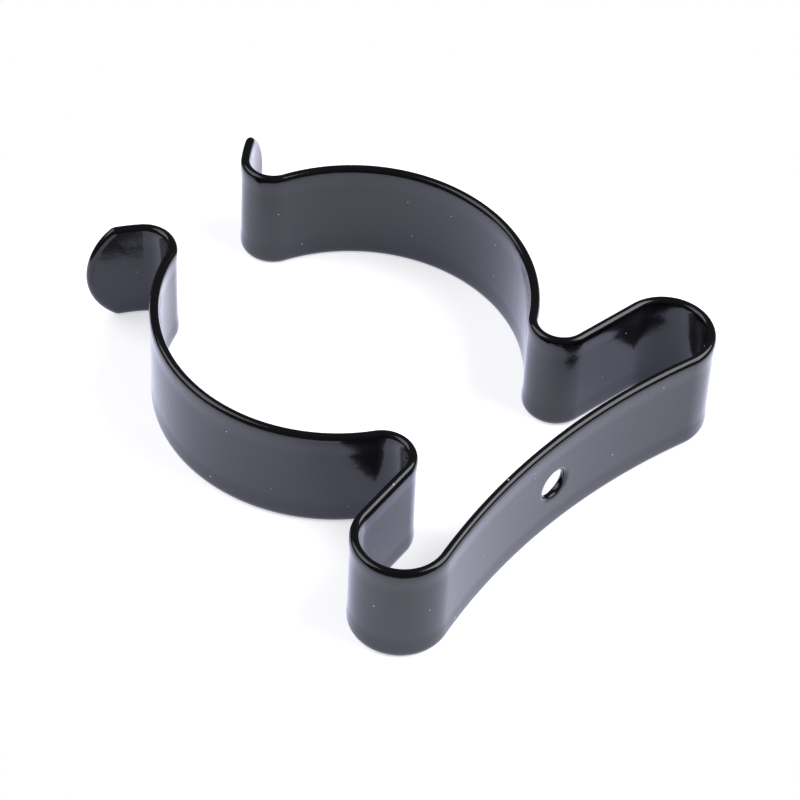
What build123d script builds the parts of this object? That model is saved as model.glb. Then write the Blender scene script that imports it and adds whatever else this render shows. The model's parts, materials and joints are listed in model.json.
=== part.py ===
"""Spring clip: a strip of spring steel, folded in one piece and dipped in black plastic.

The strip stands on one of its long edges, with its width along Z. The origin is the middle of
the screw hole in the base. The jaws, the pipe they hold and the mouth lie towards +Y, and the
two halves mirror each other about the YZ plane.
"""

import os
from math import asin, atan2, cos, degrees, radians, sin, sqrt

from build123d import *

# Strip, measured over its plastic coat, and the flat that its bevelled rims leave
strip_width = 16.0
strip_thickness = 1.3
rim_flat = 0.5

# Base, bowed away from the wall between two hairpin loops, with the straight wall of its screw hole
base_length = 64.0
base_bow = 3.3
loop_bend = 5.4
screw_hole = 4.3
hole_wall = 0.5

# Legs, which lead back from the loops to the necks
leg_slope = 8.0
neck_gap = 25.5
neck_bend = 3.2

# Jaws, each one arc round the pipe, struck from a centre on its own side of the middle plane
grip_diameter = 46.3
jaw_spread = 2.1
mouth_gap = 15.7

# Lips, which guide the pipe into the mouth and go on curling back, more gently, after their bend
lip_bend = 3.2
lip_flare = 40.0
lip_curl = 20.0
lip_length = 8.0
tip_blunting = 2.0
tip_corner_round = 1.5

# Radii of the bends along the middle of the strip's thickness
half_thickness = strip_thickness / 2
loop_radius = loop_bend + half_thickness
neck_radius = neck_bend + half_thickness
jaw_radius = grip_diameter / 2 + half_thickness
lip_radius = lip_bend + half_thickness

# Centres of the right half's bends, each tangent to the bends before and after it
slope = radians(leg_slope)
loop_x = base_length / 2 - half_thickness - loop_radius
loop_y = loop_radius - base_bow
neck_x = neck_gap / 2 + half_thickness + neck_radius
leg_offset = loop_radius + neck_radius
leg_length = (loop_x - neck_x + leg_offset * sin(slope)) / cos(slope)
neck_y = loop_y + leg_offset * cos(slope) + leg_length * sin(slope)
jaw_y = neck_y + sqrt((jaw_radius + neck_radius) ** 2 - (neck_x - jaw_spread) ** 2)
lip_x = mouth_gap / 2 + half_thickness + lip_radius
lip_y = jaw_y + sqrt((jaw_radius + lip_radius) ** 2 - (lip_x - jaw_spread) ** 2)

# The base's bow is the arc through the hole's middle that touches both loops
base_radius = (loop_x**2 + loop_y**2 - loop_radius**2) / (2 * (loop_radius - loop_y))

# Directions in degrees in which the strip leaves the base, the loop, the neck and the jaw
base_heading = -degrees(asin(loop_x / (base_radius + loop_radius)))
leg_heading = 180 - leg_slope
neck_heading = 90 + degrees(atan2(neck_y - jaw_y, neck_x - jaw_spread))
jaw_heading = 90 + degrees(atan2(lip_y - jaw_y, lip_x - jaw_spread))

with BuildPart() as spring_clip:
    # The folded strip's right half, along its middle line from the screw hole to the lip
    with BuildSketch():
        with BuildLine():
            base = CenterArc((0, -base_radius), base_radius, 90, base_heading)
            loop = JernArc(base @ 1, base % 1, loop_radius, leg_heading - base_heading)
            leg = PolarLine(loop @ 1, leg_length, leg_heading)
            neck = JernArc(leg @ 1, leg % 1, neck_radius, neck_heading - leg_heading)
            jaw = JernArc(neck @ 1, neck % 1, jaw_radius, jaw_heading - neck_heading)
            flare = JernArc(jaw @ 1, jaw % 1, lip_radius, lip_flare - jaw_heading)
            lip = JernArc(flare @ 1, flare % 1, lip_length / radians(lip_curl), -lip_curl)
        trace(line_width=strip_thickness)
    extrude(amount=strip_width / 2, both=True)

    # The lip ends in an arc that is flatter than a half circle, with softened corners
    tip_radius = strip_width / 2 + tip_blunting
    lip_plane = Plane(origin=lip @ 1, x_dir=lip % 1, z_dir=(lip % 1).rotate(Axis.Z, 90))
    with BuildSketch(lip_plane):
        with Locations((-tip_radius, 0)):
            Rectangle(2 * tip_radius, 2 * strip_width, align=(Align.MIN, Align.CENTER))
        with BuildSketch(mode=Mode.SUBTRACT) as tip:
            with Locations((-tip_radius, 0)):
                Rectangle(2 * tip_radius, strip_width)
                Circle(tip_radius, mode=Mode.INTERSECT)
            fillet(tip.vertices().group_by(Axis.X)[-1], tip_corner_round)
    extrude(amount=2 * strip_thickness, both=True, mode=Mode.SUBTRACT)

    # Both broad faces are bevelled along their rims, but not where the strip only bends
    rims = spring_clip.edges()
    for seam in (Axis.Z, Axis.Y, Axis(lip @ 1, lip_plane.z_dir)):
        rims = rims.filter_by(seam, reverse=True)
    chamfer(rims, (strip_thickness - rim_flat) / 2)
    mirror(about=Plane.YZ)

    # The screw hole, square to the base, whose rims are drawn in by the punch and the coat
    with Locations(Plane.XZ):
        Hole(screw_hole / 2)
    hole_rims = spring_clip.edges(Select.LAST).filter_by(GeomType.LINE, reverse=True)
    fillet(hole_rims, (strip_thickness - hole_wall) / 2)

spring_clip.part.label = "spring_clip"
os.makedirs("parts", exist_ok=True)
export_step(spring_clip.part, "parts/spring_clip.step")
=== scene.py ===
"""Spring clip: a strip of spring steel, folded in one piece and dipped in glossy black plastic.

The strip is drawn as a flat blank with beaded rims, rounded lips and a drawn-in screw hole, and
a Geometry Nodes tree then folds it run by run, from the hole in the base out to both lips.
"""

import json
from math import asin, atan2, ceil, cos, hypot, pi, radians, sin, sqrt

import bmesh
import bpy
from mathutils import Matrix, Vector
from mathutils.geometry import delaunay_2d_cdt


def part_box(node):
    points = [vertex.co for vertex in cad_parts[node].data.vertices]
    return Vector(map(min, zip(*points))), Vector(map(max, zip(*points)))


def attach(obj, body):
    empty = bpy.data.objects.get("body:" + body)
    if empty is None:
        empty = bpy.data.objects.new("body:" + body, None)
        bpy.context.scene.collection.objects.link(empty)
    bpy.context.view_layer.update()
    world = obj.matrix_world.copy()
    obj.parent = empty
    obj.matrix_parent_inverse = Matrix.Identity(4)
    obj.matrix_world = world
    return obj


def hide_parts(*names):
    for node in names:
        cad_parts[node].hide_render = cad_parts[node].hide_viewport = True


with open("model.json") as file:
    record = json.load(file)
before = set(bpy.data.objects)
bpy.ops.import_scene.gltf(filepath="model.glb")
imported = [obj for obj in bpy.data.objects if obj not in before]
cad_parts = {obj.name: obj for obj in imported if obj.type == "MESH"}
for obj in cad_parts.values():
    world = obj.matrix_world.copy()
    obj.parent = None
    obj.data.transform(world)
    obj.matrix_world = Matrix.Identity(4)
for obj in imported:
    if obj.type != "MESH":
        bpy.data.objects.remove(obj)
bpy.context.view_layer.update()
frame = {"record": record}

bl_info = {
    "name": "Spring Clip",
    "version": (1, 0, 0),
    "blender": (4, 5, 0),
    "location": "View3D > Sidebar > Spring Clip",
    "description": "Folds a dipped spring clip from a flat blank and sets up its studio",
    "category": "Object",
}

MM = 0.001
CLIP_LOW, CLIP_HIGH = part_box("spring_clip")
MOUNTS = {mount["name"]: mount for mount in frame["record"]["mounts"]}

# The runs of the strip's right half, in order from the screw hole to the lip's tip
RUNS = ("Base", "Loop", "Leg", "Neck", "Jaw", "Flare", "Lip")


def linear(code):
    """Turns an sRGB hex colour into a linear one."""
    channels = [int(code[i : i + 2], 16) / 255 for i in (1, 3, 5)]
    return [c / 12.92 if c <= 0.04045 else ((c + 0.055) / 1.055) ** 2.4 for c in channels]


def size(label, text, default):
    """A length property, with its default in metres."""
    return bpy.props.FloatProperty(name=label, description=text, default=default, min=0.0, unit="LENGTH")


def turn(label, text, default):
    """An angle property, with its default in degrees."""
    return bpy.props.FloatProperty(
        name=label, description=text, default=radians(default), subtype="ANGLE"
    )


def number(label, text, default):
    """A plain number property."""
    return bpy.props.FloatProperty(name=label, description=text, default=default, min=0.0)


def colour(label, text, default):
    """A colour property, with its default as an sRGB hex value."""
    return bpy.props.FloatVectorProperty(
        name=label, description=text, default=linear(default), subtype="COLOR", min=0.0, max=1.0
    )


class StripSettings(bpy.types.PropertyGroup):
    """Sizes of the folded strip, over its coat."""

    strip_width: size("Width", "Width of the strip", CLIP_HIGH.z - CLIP_LOW.z)
    strip_thickness: size("Thickness", "Mean thickness of the strip over its coat", 1.3 * MM)
    bead_height: size("Bead height", "Height of the bead along the rims above the mean", 0.05 * MM)
    face_sink: size("Face sink", "Depth of the faces between the beads below the mean", 0.04 * MM)
    bead_rise: size("Bead rise", "Width over which each face rises to the bead", 2.6 * MM)
    shoulder: size("Shoulder", "Width over which the bead falls away towards the rim", 0.6 * MM)
    shoulder_turn: turn("Shoulder turn", "Slope that the bead reaches before the rim's round", 22.0)
    base_length: size("Base length", "Length over both loops", CLIP_HIGH.x - CLIP_LOW.x)
    loop_depth: size("Loop depth", "How far the loops' backs lie behind the hole's middle", -CLIP_LOW.y)
    loop_bend: size("Loop bend", "Inside radius of the hairpin loops", 5.4 * MM)
    leg_slope: turn("Leg slope", "Slope of the legs from the loops to the necks", 8.0)
    neck_gap: size("Neck gap", "Clear width between the necks", 25.5 * MM)
    neck_bend: size("Neck bend", "Inside radius of the necks", 3.2 * MM)
    grip_radius: size("Grip radius", "Inside radius of each jaw", MOUNTS["grip"]["dims"]["r_mm"] * MM)
    jaw_spread: size("Jaw spread", "Distance of each jaw's centre from the middle", 2.1 * MM)
    mouth_gap: size("Mouth gap", "Clear width between the lips", 15.7 * MM)
    lip_bend: size("Lip bend", "Inside radius where the jaw turns into the lip", 3.2 * MM)
    lip_flare: turn("Lip flare", "Angle to the base at which the lips leave their bend", 40.0)
    lip_curl: turn("Lip curl", "Turn of the lips beyond their bend", 20.0)
    lip_length: size("Lip length", "Length of the lips beyond their bend", 7.9 * MM)
    tip_blunting: size("Tip blunting", "Radius of the tip beyond half the strip's width", 2.0 * MM)
    tip_corner: size("Tip corner", "Radius where the tip's arc meets the strip's sides", 1.5 * MM)
    hole_radius: size("Hole radius", "Radius of the hole's wall", MOUNTS["screw_hole"]["dims"]["r_mm"] * MM)
    hole_draw: size("Hole draw", "Width over which the face is drawn into the hole", 0.75 * MM)
    hole_wall: size("Hole wall", "Straight wall left in the hole", 0.3 * MM)


class CoatSettings(bpy.types.PropertyGroup):
    """Finish of the dipped coat."""

    black: colour("Black", "Colour of the coat", "#0c0c0e")
    dust: colour("Dust", "Colour of the dust on the coat", "#d4d4dc")
    gloss_roughness: number("Roughness", "Roughness of the coat's gloss", 0.15)
    ripple: size("Ripple", "Spacing of the ripple left by the dip", 1.0 * MM)
    ripple_height: size("Ripple height", "Height of that ripple", 0.014 * MM)
    dust_spacing: size("Dust spacing", "Spacing of the dust in space", 2.4 * MM)
    dust_radius: size("Dust radius", "Radius of a speck of dust", 0.11 * MM)


class StageSettings(bpy.types.PropertyGroup):
    """Floor, lamps and camera."""

    floor_white: colour("Floor", "Colour of the floor", "#f0f0f1")
    floor_radius: size("Floor radius", "Radius of the floor", 75 * MM)
    floor_glow: number("Floor glow", "Light that the floor adds where it is seen", 0.65)
    floor_sheen: number("Floor sheen", "Light that the floor adds where the coat mirrors it", 1.2)
    sheen_tint: colour("Sheen tint", "Colour of the light that the coat mirrors", "#dcdfff")
    studio_dim: number("Studio", "Light of the dark studio around the floor", 0.1)
    lamp_tint: colour("Lamp tint", "Colour of the lamps", "#f8f9ff")
    key_power: bpy.props.FloatProperty(
        name="Key power", description="Power of the right softbox", default=6.2, min=0.0, unit="POWER"
    )
    fill_power: bpy.props.FloatProperty(
        name="Fill power", description="Power of the left softbox", default=3.2, min=0.0, unit="POWER"
    )
    lamp_size: size("Lamp size", "Side of each softbox", 580 * MM)
    lamp_distance: size("Lamp distance", "Distance of each softbox from the clip", 700 * MM)
    lamp_elevation: turn("Lamp elevation", "Height of the softboxes above the floor", 44.0)
    lamp_swing: turn("Lamp swing", "Angle of the softboxes from the camera, to each side", 92.0)
    view_azimuth: turn("View azimuth", "Direction of the camera round the clip", -48.735)
    view_elevation: turn("View elevation", "Height of the camera above the floor", 46.314)
    view_roll: turn("View roll", "Roll of the camera", 2.803)
    view_distance: size("View distance", "Distance of the camera from what it looks at", 448.0 * MM)
    view_lens: bpy.props.FloatProperty(
        name="Lens", description="Focal length over a 36 mm frame", default=150.37, unit="CAMERA"
    )
    view_target: bpy.props.FloatVectorProperty(
        name="Target",
        description="Point in the middle of the picture",
        default=(0.84 * MM, 27.30 * MM, -5.51 * MM),
        subtype="TRANSLATION",
    )


def add_node(tree, kind, inputs=None, **settings):
    """Adds a node with its settings, and gives each named input its value or its link."""
    node = tree.nodes.new(kind)
    for name, value in settings.items():
        setattr(node, name, value)
    for name, value in (inputs or {}).items():
        if isinstance(value, bpy.types.NodeSocket):
            tree.links.new(value, node.inputs[name])
        else:
            node.inputs[name].default_value = value
    return node


def strip_runs(strip):
    """Lengths, and turns in radians, of the runs of the strip's right half."""
    half = strip.strip_thickness / 2
    crest = half + strip.bead_height
    loop_radius = strip.loop_bend + half
    neck_radius = strip.neck_bend + half
    jaw_radius = strip.grip_radius + half
    lip_radius = strip.lip_bend + half
    slope = strip.leg_slope

    # Centres of the bends, each tangent to the bends before and after it
    loop = Vector((strip.base_length / 2 - crest, crest - strip.loop_depth))
    loop += loop_radius * Vector((-1.0, 1.0))
    neck_x = strip.neck_gap / 2 + half + neck_radius
    reach = loop_radius + neck_radius
    leg = (loop.x - neck_x + reach * sin(slope)) / cos(slope)
    neck = Vector((neck_x, loop.y + reach * cos(slope) + leg * sin(slope)))
    neck_out = neck.x - strip.jaw_spread
    jaw = Vector((strip.jaw_spread, neck.y + sqrt((jaw_radius + neck_radius) ** 2 - neck_out**2)))
    lip_out = strip.mouth_gap / 2 + half + lip_radius - strip.jaw_spread
    lip_up = sqrt((jaw_radius + lip_radius) ** 2 - lip_out**2)
    base_radius = (loop.length_squared - loop_radius**2) / (2 * (loop_radius - loop.y))

    # Heading of the strip at the end of each run, and the radius or else the length of each run
    headings = (
        -asin(loop.x / (base_radius + loop_radius)),
        pi - slope,
        pi - slope,
        pi / 2 + atan2(neck.y - jaw.y, neck_out),
        pi / 2 + atan2(lip_up, lip_out),
        strip.lip_flare,
        strip.lip_flare - strip.lip_curl,
    )
    radii = (base_radius, loop_radius, None, neck_radius, jaw_radius, lip_radius, None)
    lengths = {"Leg": leg, "Lip": strip.lip_length}
    runs = []
    heading = 0.0
    for name, next_heading, radius in zip(RUNS, headings, radii):
        run_turn = next_heading - heading
        length = lengths[name] if radius is None else radius * abs(run_turn)
        runs.append((name, length, run_turn))
        heading = next_heading
    return runs


def spread(first, last, step):
    """Even steps from first to last, both ends included, no longer than step."""
    count = max(1, ceil(abs(last - first) / step))
    return [first + (last - first) * i / count for i in range(count + 1)]


def blank_stations(runs):
    """Distances from the hole at which the right half's blank has its cross lines."""
    longest = 1.0 * MM
    sharpest = radians(3.0)
    stations = [0.0]
    for _, length, run_turn in runs:
        step = min(longest, length * sharpest / max(abs(run_turn), sharpest))
        stations += [stations[-1] + part for part in spread(0.0, length, step)[1:]]
    return stations


def rim_section(strip):
    """Half the rim's section, from the bead's crest to the outermost line, as pairs of reach and height."""
    fall_steps = 7
    round_step = radians(10.0)
    crest = strip.strip_thickness / 2 + strip.bead_height
    slope = strip.shoulder_turn
    wide = strip.shoulder / sin(slope)
    tight = (crest - wide * (1 - cos(slope))) / cos(slope)
    fall = [(wide * sin(a), crest - wide * (1 - cos(a))) for a in spread(0.0, slope, slope / fall_steps)]
    centre = strip.shoulder - tight * sin(slope)
    edge = [(centre + tight * sin(a), tight * cos(a)) for a in spread(slope, pi / 2, round_step)]
    return fall + edge[1:]


def hole_section(strip):
    """Half the hole's section, from the broad face to the wall, as pairs of reach and height."""
    draw_step = radians(11.0)
    wall = strip.hole_wall / 2
    depth = strip.strip_thickness / 2 - strip.face_sink - wall
    return [(strip.hole_draw * sin(a), wall + depth * cos(a)) for a in spread(0.0, pi / 2, draw_step)]


def blank_rim(strip, stations):
    """The blank's outline as pairs of a point on the broad face's edge and the outward normal."""
    corner_gap = 0.2 * MM
    arc_step = radians(3.0)
    closest = 0.01 * MM
    reach = rim_section(strip)[-1][0]
    half_width = strip.strip_width / 2
    tip_radius = half_width + strip.tip_blunting
    tip_x = stations[-1] - tip_radius
    corner_y = half_width - strip.tip_corner
    corner_x = tip_x + sqrt((tip_radius - strip.tip_corner) ** 2 - corner_y**2)
    corner_end = atan2(corner_y, corner_x - tip_x)

    # The right half from the middle of its lower side, round the tip, to the middle of its upper side
    side = [s for s in stations if s < corner_x - corner_gap]
    rim = [(Vector((s, -half_width)), -pi / 2) for s in side]
    arcs = (
        (Vector((corner_x, -corner_y)), strip.tip_corner, -pi / 2, -corner_end),
        (Vector((tip_x, 0.0)), tip_radius, -corner_end, corner_end),
        (Vector((corner_x, corner_y)), strip.tip_corner, corner_end, pi / 2),
    )
    for centre, radius, first, last in arcs:
        for angle in spread(first, last, arc_step):
            rim.append((centre + radius * Vector((cos(angle), sin(angle))), angle))
    rim += [(Vector((s, half_width)), pi / 2) for s in reversed(side)]

    pairs = []
    for point, angle in rim:
        normal = Vector((cos(angle), sin(angle)))
        inner = point - reach * normal
        if not pairs or (inner - pairs[-1][0]).length > closest:
            pairs.append((inner, normal))
    mirrored = [(Vector((-p.x, p.y)), Vector((-n.x, n.y))) for p, n in reversed(pairs[1:-1])]
    return pairs + mirrored


def blank_mesh(strip, stations):
    """The flat blank: length along X, thickness along Y, width along Z, with the hole at the origin."""
    rim = blank_rim(strip, stations)
    hole_out = strip.hole_radius + strip.hole_draw
    hole_steps = 72
    ring = [Vector((cos(a), sin(a))) for a in (2 * pi * i / hole_steps for i in range(hole_steps))]

    # A broad face: the rim's inner line, the hole's outer line, and a grid between them.
    # A second line close to each keeps the face's shading from bleeding into the round.
    hem = 0.06 * MM
    rim_margin = 3 * hem
    hole_margin = 5 * hem
    tip_margin = 0.8 * MM
    bead_row = 0.3 * MM
    face_row = 1.6 * MM
    outline = [point for point, normal in rim]
    hole_line = [hole_out * p for p in ring]
    inside = [point - hem * normal for point, normal in rim]
    inside += [(hole_out + hem) * p for p in ring]
    tip_radius = strip.strip_width / 2 + strip.tip_blunting
    tip_x = stations[-1] - tip_radius
    reach = rim_section(strip)[-1][0]
    side = strip.strip_width / 2 - reach - rim_margin
    foot = side - strip.bead_rise
    rows = spread(-side, -foot, bead_row)
    rows += spread(-foot, foot, face_row)[1:-1]
    rows += spread(foot, side, bead_row)
    tip_limit = tip_radius - reach - tip_margin
    for s in [-s for s in reversed(stations[1:])] + stations:
        for w in rows:
            clear_of_hole = hypot(s, w) > hole_out + hole_margin
            clear_of_tip = abs(s) < tip_x or hypot(abs(s) - tip_x, w) < tip_limit
            if clear_of_hole and clear_of_tip:
                inside.append(Vector((s, w)))
    flat = outline + hole_line + inside
    loops = ((0, len(outline)), (len(outline), len(hole_line)))
    edges = [(start + i, start + (i + 1) % count) for start, count in loops for i in range(count)]
    inside_outline = 1
    merge_distance = 1e-5
    # The triangulation works in millimetres, as does its merge distance
    points = [p / MM for p in flat]
    verts, _, faces, origins, _, _ = delaunay_2d_cdt(points, edges, [], inside_outline, merge_distance)
    place = {source: i for i, sources in enumerate(origins) for source in sources}
    hole_corners = {place[len(outline) + i] for i in range(hole_steps)}

    def height(s, w):
        """Height of a face above the middle of the thickness, which grows towards the bead."""
        depth = min(strip.strip_width / 2 - abs(w), tip_radius - hypot(max(abs(s) - tip_x, 0.0), w))
        part = min(max((depth - reach) / strip.bead_rise, 0.0), 1.0)
        bead = (1 + cos(pi * part)) / 2
        return strip.strip_thickness / 2 - strip.face_sink + (strip.face_sink + strip.bead_height) * bead

    bm = bmesh.new()
    spots = [(v.x * MM, v.y * MM) for v in verts]
    upper = [bm.verts.new((s, height(s, w), w)) for s, w in spots]
    lower = [bm.verts.new((s, -height(s, w), w)) for s, w in spots]
    for face in faces:
        # A face with all its corners on the hole's line would fill the hole
        if hole_corners.issuperset(face):
            continue
        bm.faces.new([upper[i] for i in reversed(face)])
        bm.faces.new([lower[i] for i in face])

    def close(first, points, normals, section):
        """Joins the two broad faces along a line, through a section that the lower half mirrors."""
        count = len(points)
        middle = 1e-6 * MM
        section = section + [(x, -y) for x, y in reversed(section) if y > middle]
        lines = [[upper[place[first + i]] for i in range(count)]]
        for x, y in section[1:-1]:
            moved = [p + x * n for p, n in zip(points, normals)]
            lines.append([bm.verts.new((p.x, y, p.y)) for p in moved])
        lines.append([lower[place[first + i]] for i in range(count)])
        for a, b in zip(lines, lines[1:]):
            for i in range(count):
                j = (i + 1) % count
                bm.faces.new((a[i], a[j], b[j], b[i]))

    close(0, outline, [n for p, n in rim], rim_section(strip))
    close(len(outline), hole_line, [-p for p in ring], hole_section(strip))
    bmesh.ops.recalc_face_normals(bm, faces=bm.faces)
    mesh = bpy.data.meshes.new("folded_strip")
    bm.to_mesh(mesh)
    bm.free()
    return mesh


def bend_group():
    """Node group that carries a point along one run of the strip, straight or bent to an arc."""
    tree = bpy.data.node_groups.new("Bend Run", "GeometryNodeTree")
    for name in ("Along", "Start", "Length", "Turn", "Heading"):
        tree.interface.new_socket(name, in_out="INPUT", socket_type="NodeSocketFloat")
    tree.interface.new_socket("Point", in_out="INPUT", socket_type="NodeSocketVector")
    tree.interface.new_socket("Point", in_out="OUTPUT", socket_type="NodeSocketVector")
    for name in ("Heading", "End"):
        tree.interface.new_socket(name, in_out="OUTPUT", socket_type="NodeSocketFloat")
    given = add_node(tree, "NodeGroupInput").outputs

    # How far into the run the point lies, and how much of the run's turn that is
    end = {0: given["Start"], 1: given["Length"]}
    end = add_node(tree, "ShaderNodeMath", end, operation="ADD").outputs[0]
    share = {"Value": given["Along"], "From Min": given["Start"], "From Max": end}
    share = add_node(tree, "ShaderNodeMapRange", share).outputs[0]
    within = add_node(tree, "ShaderNodeMath", {0: share, 1: given["Length"]}, operation="MULTIPLY").outputs[0]
    turned = add_node(tree, "ShaderNodeMath", {0: share, 1: given["Turn"]}, operation="MULTIPLY").outputs[0]

    # The chord of that part of the arc; a tiny angle is added so that a straight run divides by no zero
    tiny = 1e-6
    half = {0: turned, 1: 0.5, 2: tiny}
    half = add_node(tree, "ShaderNodeMath", half, operation="MULTIPLY_ADD").outputs[0]
    bow = add_node(tree, "ShaderNodeMath", {0: half}, operation="SINE").outputs[0]
    bow = add_node(tree, "ShaderNodeMath", {0: bow, 1: half}, operation="DIVIDE").outputs[0]
    chord = add_node(tree, "ShaderNodeMath", {0: within, 1: bow}, operation="MULTIPLY").outputs[0]
    middle = add_node(tree, "ShaderNodeMath", {0: given["Heading"], 1: half}, operation="ADD").outputs[0]
    step = add_node(tree, "ShaderNodeCombineXYZ", {"X": chord}).outputs[0]
    step = {"Vector": step, "Angle": middle}
    step = add_node(tree, "ShaderNodeVectorRotate", step, rotation_type="Z_AXIS").outputs[0]
    point = add_node(tree, "ShaderNodeVectorMath", {0: given["Point"], 1: step}, operation="ADD").outputs[0]
    heading = add_node(tree, "ShaderNodeMath", {0: given["Heading"], 1: turned}, operation="ADD").outputs[0]
    add_node(tree, "NodeGroupOutput", {"Point": point, "Heading": heading, "End": end})
    return tree


def fold_tree():
    """Geometry Nodes tree that folds the flat blank into the clip."""
    tree = bpy.data.node_groups.new("Fold Strip", "GeometryNodeTree")
    tree.interface.new_socket("Geometry", in_out="INPUT", socket_type="NodeSocketGeometry")
    for name in RUNS:
        for measure in ("Length", "Turn"):
            tree.interface.new_socket(f"{name} {measure}", in_out="INPUT", socket_type="NodeSocketFloat")
    tree.interface.new_socket("Coat", in_out="INPUT", socket_type="NodeSocketMaterial")
    tree.interface.new_socket("Geometry", in_out="OUTPUT", socket_type="NodeSocketGeometry")
    given = add_node(tree, "NodeGroupInput").outputs

    place = add_node(tree, "GeometryNodeInputPosition").outputs[0]
    blank = add_node(tree, "ShaderNodeSeparateXYZ", {0: place}).outputs
    along = add_node(tree, "ShaderNodeMath", {0: blank["X"]}, operation="ABSOLUTE").outputs[0]
    bend = bend_group()
    state = {"Point": (0.0, 0.0, 0.0), "Heading": 0.0, "Start": 0.0}
    for name in RUNS:
        run = {"Along": along, "Length": given[f"{name} Length"], "Turn": given[f"{name} Turn"], **state}
        run = add_node(tree, "GeometryNodeGroup", run, node_tree=bend, label=name).outputs
        state = {"Point": run["Point"], "Heading": run["Heading"], "Start": run["End"]}

    # The thickness and the width stand square to the middle line, and the left half mirrors the right one
    offset = add_node(tree, "ShaderNodeCombineXYZ", {"Y": blank["Y"], "Z": blank["Z"]}).outputs[0]
    offset = {"Vector": offset, "Angle": state["Heading"]}
    offset = add_node(tree, "ShaderNodeVectorRotate", offset, rotation_type="Z_AXIS").outputs[0]
    folded = {0: state["Point"], 1: offset}
    folded = add_node(tree, "ShaderNodeVectorMath", folded, operation="ADD").outputs[0]
    side = add_node(tree, "ShaderNodeMath", {0: blank["X"]}, operation="SIGN").outputs[0]
    side = add_node(tree, "ShaderNodeCombineXYZ", {"X": side, "Y": 1.0, "Z": 1.0}).outputs[0]
    target = add_node(tree, "ShaderNodeVectorMath", {0: folded, 1: side}, operation="MULTIPLY").outputs[0]

    placed = {"Geometry": given["Geometry"], "Position": target}
    placed = add_node(tree, "GeometryNodeSetPosition", placed).outputs[0]
    smooth = add_node(tree, "GeometryNodeSetShadeSmooth", {"Geometry": placed}).outputs[0]
    real = add_node(tree, "GeometryNodeRealizeInstances", {"Geometry": smooth}).outputs[0]
    coated = {"Geometry": real, "Material": given["Coat"]}
    coated = add_node(tree, "GeometryNodeSetMaterial", coated).outputs[0]
    add_node(tree, "NodeGroupOutput", {"Geometry": coated})
    return tree


def dipped_coat(coat):
    """Soft vinyl, hot dipped and cured: a deep black gloss over a faint ripple, with a little dust on it."""
    material = bpy.data.materials.new("dipped_black_vinyl")
    material.use_nodes = True
    tree = material.node_tree
    tree.nodes.clear()
    place = add_node(tree, "ShaderNodeTexCoord").outputs["Object"]

    # The coat flows a little before it sets, which leaves a ripple that only the reflections show
    ripple = {"Vector": place, "Scale": 1 / coat.ripple, "Detail": 2.0, "Roughness": 0.5}
    ripple = add_node(tree, "ShaderNodeTexNoise", ripple).outputs[0]
    relief = {"Height": ripple, "Distance": coat.ripple_height, "Strength": 1.0}
    relief = add_node(tree, "ShaderNodeBump", relief).outputs[0]

    # Specks of dust: small balls spread evenly in space, where the surface cuts them
    specks = {"Vector": place, "Scale": 1 / coat.dust_spacing}
    specks = add_node(tree, "ShaderNodeTexVoronoi", specks).outputs["Distance"]
    radius = coat.dust_radius / coat.dust_spacing
    specks = add_node(tree, "ShaderNodeMath", {0: specks, 1: radius}, operation="LESS_THAN").outputs[0]
    tone = {0: specks, 6: (*coat.black, 1.0), 7: (*coat.dust, 1.0)}
    tone = add_node(tree, "ShaderNodeMix", tone, data_type="RGBA").outputs[2]
    dust_roughness = 0.9
    dull = {0: specks, 1: dust_roughness - coat.gloss_roughness, 2: coat.gloss_roughness}
    dull = add_node(tree, "ShaderNodeMath", dull, operation="MULTIPLY_ADD").outputs[0]

    shader = {"Base Color": tone, "Roughness": dull, "IOR": 1.45, "Normal": relief}
    shader = add_node(tree, "ShaderNodeBsdfPrincipled", shader).outputs[0]
    add_node(tree, "ShaderNodeOutputMaterial", {"Surface": shader})
    return material


class SPRINGCLIP_OT_fold_strip(bpy.types.Operator):
    """Makes the flat blank and folds it into the coated clip"""

    bl_idname = "springclip.fold_strip"
    bl_label = "Fold Strip"

    def execute(self, context):
        strip = context.scene.spring_clip_strip
        runs = strip_runs(strip)
        blank = blank_mesh(strip, blank_stations(runs))
        clip = bpy.data.objects.new("folded_strip", blank)
        context.scene.collection.objects.link(clip)
        tree = fold_tree()
        inputs = [item for item in tree.interface.items_tree if item.in_out == "INPUT"]
        sockets = {item.name: item.identifier for item in inputs}
        fold = clip.modifiers.new("Fold Strip", "NODES")
        fold.node_group = tree
        for name, length, run_turn in runs:
            fold[sockets[f"{name} Length"]] = length
            fold[sockets[f"{name} Turn"]] = run_turn
        fold[sockets["Coat"]] = dipped_coat(context.scene.spring_clip_coat)
        depsgraph = context.evaluated_depsgraph_get()
        folded = bpy.data.meshes.new_from_object(clip.evaluated_get(depsgraph), depsgraph=depsgraph)
        clip.modifiers.remove(fold)
        clip.data = folded
        bpy.data.meshes.remove(blank)
        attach(clip, "root")
        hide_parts("spring_clip")
        return {"FINISHED"}


def look_from(target, distance, azimuth, elevation, roll=0.0):
    """Place of a camera or a lamp that looks at the target from a direction round it."""
    swing = Matrix.Rotation(azimuth, 4, "Z")
    tilt = Matrix.Rotation(pi / 2 - elevation, 4, "X")
    turned = swing @ tilt @ Matrix.Rotation(roll, 4, "Z")
    return Matrix.Translation(target) @ turned @ Matrix.Translation((0.0, 0.0, distance))


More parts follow.
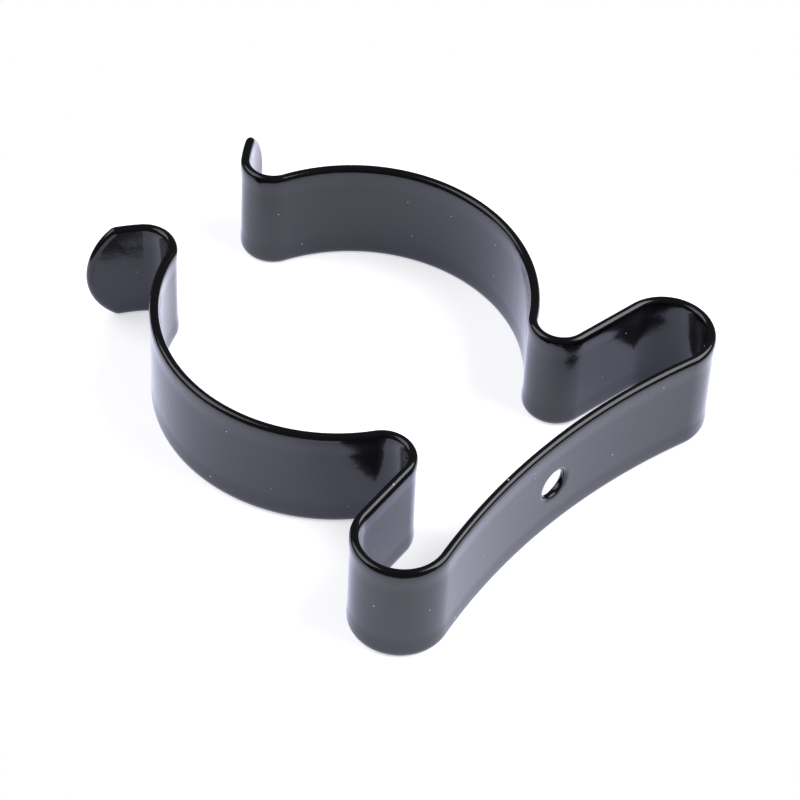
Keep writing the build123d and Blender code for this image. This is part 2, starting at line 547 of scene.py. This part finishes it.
def floor_paper(stage):
    """A round sheet of matt white paper, bright enough to be seen, and mirrored, as plain white."""
    material = bpy.data.materials.new("matt_white_paper")
    material.use_nodes = True
    tree = material.node_tree
    tree.nodes.clear()
    ray = add_node(tree, "ShaderNodeLightPath").outputs
    seen = {0: ray["Is Camera Ray"], 1: stage.floor_glow}
    seen = add_node(tree, "ShaderNodeMath", seen, operation="MULTIPLY").outputs[0]
    mirrored = {0: ray["Is Glossy Ray"], 1: stage.floor_sheen}
    mirrored = add_node(tree, "ShaderNodeMath", mirrored, operation="MULTIPLY").outputs[0]
    white = (*stage.floor_white, 1.0)
    tint = (*stage.sheen_tint, 1.0)
    paper = add_node(tree, "ShaderNodeBsdfDiffuse", {"Color": white}).outputs[0]
    glow = add_node(tree, "ShaderNodeEmission", {"Color": white, "Strength": seen}).outputs[0]
    sheen = add_node(tree, "ShaderNodeEmission", {"Color": tint, "Strength": mirrored}).outputs[0]
    paper = add_node(tree, "ShaderNodeAddShader", {0: paper, 1: glow}).outputs[0]
    paper = add_node(tree, "ShaderNodeAddShader", {0: paper, 1: sheen}).outputs[0]
    add_node(tree, "ShaderNodeOutputMaterial", {"Surface": paper})
    return material


class SPRINGCLIP_OT_set_stage(bpy.types.Operator):
    """Sets up the floor, the dark studio, the softboxes and the camera"""

    bl_idname = "springclip.set_stage"
    bl_label = "Set Stage"

    def execute(self, context):
        scene = context.scene
        stage = scene.spring_clip_stage
        target = Vector(stage.view_target)

        mesh = bpy.data.meshes.new("floor")
        bm = bmesh.new()
        ground = Matrix.Translation((0.0, target.y, CLIP_LOW.z))
        bmesh.ops.create_circle(bm, cap_ends=True, segments=96, radius=stage.floor_radius, matrix=ground)
        bm.to_mesh(mesh)
        bm.free()
        floor = bpy.data.objects.new("floor", mesh)
        mesh.materials.append(floor_paper(stage))
        scene.collection.objects.link(floor)

        lamps = ((1, "softbox_right", stage.key_power), (-1, "softbox_left", stage.fill_power))
        for side, name, power in lamps:
            light = bpy.data.lights.new(name, "AREA")
            light.shape = "SQUARE"
            light.size = stage.lamp_size
            light.energy = power
            light.color = stage.lamp_tint
            lamp = bpy.data.objects.new(name, light)
            azimuth = stage.view_azimuth + side * stage.lamp_swing
            lamp.matrix_world = look_from(target, stage.lamp_distance, azimuth, stage.lamp_elevation)
            scene.collection.objects.link(lamp)

        # The studio is dark all round, so the rims keep their black, and is white only where it is looked at
        world = bpy.data.worlds.new("studio")
        world.use_nodes = True
        tree = world.node_tree
        tree.nodes.clear()
        seen = add_node(tree, "ShaderNodeLightPath").outputs["Is Camera Ray"]
        level = {0: seen, 1: 1.0 - stage.studio_dim, 2: stage.studio_dim}
        level = add_node(tree, "ShaderNodeMath", level, operation="MULTIPLY_ADD").outputs[0]
        air = {"Color": (1.0, 1.0, 1.0, 1.0), "Strength": level}
        air = add_node(tree, "ShaderNodeBackground", air).outputs[0]
        add_node(tree, "ShaderNodeOutputWorld", {"Surface": air})
        scene.world = world

        lens = bpy.data.cameras.new("photo_camera")
        lens.sensor_fit = "HORIZONTAL"
        lens.sensor_width = 36.0
        lens.lens = stage.view_lens
        camera = bpy.data.objects.new("photo_camera", lens)
        angles = (stage.view_azimuth, stage.view_elevation, stage.view_roll)
        camera.matrix_world = look_from(target, stage.view_distance, *angles)
        scene.collection.objects.link(camera)
        scene.camera = camera
        scene.view_settings.view_transform = "Standard"
        return {"FINISHED"}


class SPRINGCLIP_PT_panel(bpy.types.Panel):
    """Sizes, finish and stage of the spring clip"""

    bl_idname = "SPRINGCLIP_PT_panel"
    bl_label = "Spring Clip"
    bl_space_type = "VIEW_3D"
    bl_region_type = "UI"
    bl_category = "Spring Clip"

    def draw(self, context):
        for settings, operator in PANEL_ROWS:
            group = getattr(context.scene, settings)
            column = self.layout.column()
            for name in group.bl_rna.properties.keys():
                if name not in ("rna_type", "name"):
                    column.prop(group, name)
            if operator:
                column.operator(operator)


PANEL_ROWS = (
    ("spring_clip_coat", None),
    ("spring_clip_strip", "springclip.fold_strip"),
    ("spring_clip_stage", "springclip.set_stage"),
)

SETTINGS = {
    "spring_clip_strip": StripSettings,
    "spring_clip_coat": CoatSettings,
    "spring_clip_stage": StageSettings,
}

CLASSES = (*SETTINGS.values(), SPRINGCLIP_OT_fold_strip, SPRINGCLIP_OT_set_stage, SPRINGCLIP_PT_panel)


def register():
    for cls in CLASSES:
        bpy.utils.register_class(cls)
    for name, group in SETTINGS.items():
        setattr(bpy.types.Scene, name, bpy.props.PointerProperty(type=group))


def unregister():
    for name in SETTINGS:
        delattr(bpy.types.Scene, name)
    for cls in reversed(CLASSES):
        bpy.utils.unregister_class(cls)


def main():
    register()
    bpy.ops.springclip.fold_strip()
    bpy.ops.springclip.set_stage()


if __name__ == "__main__":
    main()
